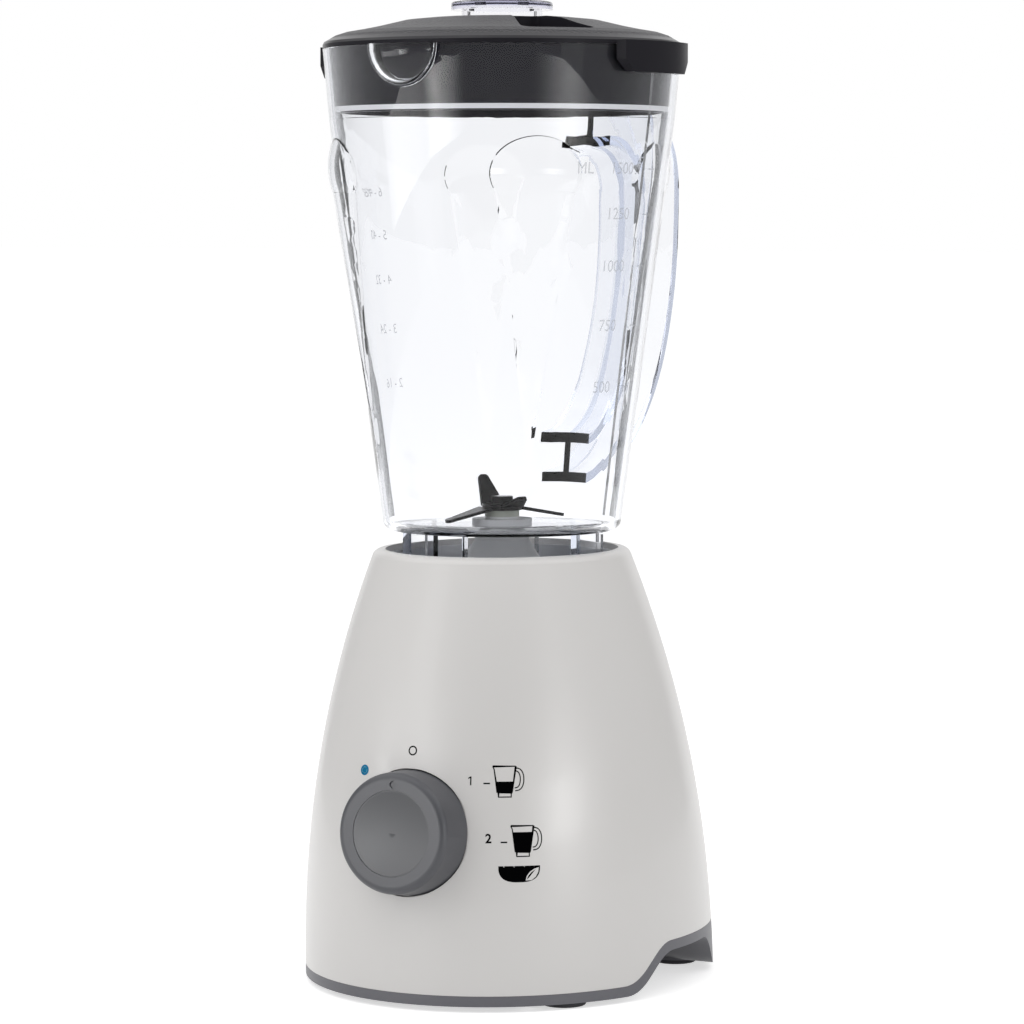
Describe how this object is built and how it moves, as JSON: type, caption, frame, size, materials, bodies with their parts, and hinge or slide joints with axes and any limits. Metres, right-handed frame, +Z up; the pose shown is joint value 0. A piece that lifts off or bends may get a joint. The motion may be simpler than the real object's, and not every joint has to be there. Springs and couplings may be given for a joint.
{
  "type": "countertop blender",
  "caption": "Countertop blender with a white motor base, rotary speed knob, clear handled jug with steel blades, dark lid and clear filler cap.",
  "frame": {"origin": "on the worktop, under the middle of the whole blender seen from above", "axes": "+X to the right of someone facing the knob, +Y towards the handle at the back, +Z up"},
  "size_m": [0.1632, 0.2215, 0.3997],
  "materials": {
    "housing_white": "glossy moulded",
    "plinth_grey": "satin moulded",
    "foot_rubber": "matt",
    "screw_steel": "plated",
    "well_grey": "satin moulded",
    "steel_laminate": "laminated",
    "winding_copper": "lacquered",
    "bracket_aluminium": "die cast",
    "bearing_steel": "ground",
    "isolator_rubber": "matt",
    "holder_brass": "plain",
    "brush_carbon": "pressed carbon",
    "spring_steel": "drawn",
    "switch_black": "moulded",
    "terminal_white": "moulded",
    "capacitor_yellow": "dipped",
    "knob_grey": "satin moulded",
    "knob_disc_grey": "satin moulded",
    "jug_clear": "clear, polished",
    "carrier_grey": "moulded",
    "seal_rubber": "matt",
    "spacer_grey": "moulded",
    "blade_steel": "ground",
    "lid_dark": "fine spark texture on top, gloss skirt",
    "lid_seal_clear": "translucent",
    "cap_clear": "clear, polished"
  },
  "bodies": {
    "base": {"housing": "housing_white", "plinth": "plinth_grey", "feet": "foot_rubber", "base_screws": "screw_steel", "well_liner": "well_grey", "well_screws": "screw_steel", "field_stack": "steel_laminate", "field_coils": "winding_copper", "lower_bracket": "bracket_aluminium", "upper_bracket": "bracket_aluminium", "lower_bearing": "bearing_steel", "upper_bearing": "bearing_steel", "motor_bolts": "screw_steel", "motor_isolators": "isolator_rubber", "motor_screws": "screw_steel", "brush_holders": "holder_brass", "brushes": "brush_carbon", "brush_springs": "spring_steel", "rotary_switch": "switch_black", "inlet_bush": "switch_black", "terminal_block": "terminal_white", "suppression_capacitor": "capacitor_yellow", "microswitch": "switch_black", "interlock_spring": "spring_steel"},
    "rotor": {"motor_shaft": "bearing_steel", "armature_core": "steel_laminate", "armature_windings": "winding_copper", "commutator": "winding_copper", "cooling_fan": "terminal_white", "drive_coupling": "switch_black"},
    "selector": {"knob": "knob_grey", "knob_disc": "knob_disc_grey", "switch_spindle": "bearing_steel"},
    "interlock": {"interlock_pin": "knob_grey"},
    "jug": {"jug": "jug_clear", "blade_carrier": "carrier_grey", "carrier_seal": "seal_rubber", "ring_nut": "carrier_grey", "bushes": "holder_brass", "shaft_seal": "seal_rubber"},
    "blades": {"blade_shaft": "bearing_steel", "driven_dog": "switch_black", "circlip": "screw_steel", "blade_spacer": "spacer_grey", "lower_blade": "blade_steel", "upper_blade": "blade_steel", "blade_nut": "blade_steel"},
    "lid": {"lid": "lid_dark", "lid_seal": "lid_seal_clear"},
    "cap": {"filler_cap": "cap_clear"}
  },
  "joints": [
    {"name": "motor_spin", "type": "hinge", "parent": "base", "child": "rotor", "pos_m": [0, -0.013, 0.1], "axis": [0, 0, 1], "continuous": true},
    {"name": "knob_turn", "type": "hinge", "parent": "base", "child": "selector", "pos_m": [0, -0.0961, 0.07], "axis": [0, -0.9945, 0.1045], "range_deg": [-90, 45]},
    {"name": "jug_lift", "type": "slide", "parent": "base", "child": "jug", "axis": [0, 0, 1], "range_m": [0, 0.08]},
    {"name": "blade_spin", "type": "hinge", "parent": "jug", "child": "blades", "pos_m": [0, -0.013, 0.19], "axis": [0, 0, 1], "continuous": true},
    {"name": "lid_lift", "type": "slide", "parent": "jug", "child": "lid", "axis": [0, 0, 1], "range_m": [0, 0.06]},
    {"name": "cap_lift", "type": "slide", "parent": "lid", "child": "cap", "axis": [0, 0, 1], "range_m": [0, 0.04]},
    {"name": "interlock_rise", "type": "slide", "parent": "base", "child": "interlock", "axis": [0, 0, 1], "range_m": [0, 0.004], "deforming": ["interlock_spring"]}
  ],
  "couplings": [
    {"joint": "blade_spin", "follows": "motor_spin", "ratio": 1},
    {"joint": "interlock_rise", "follows": "jug_lift", "ratio": 0.05}
  ]
}
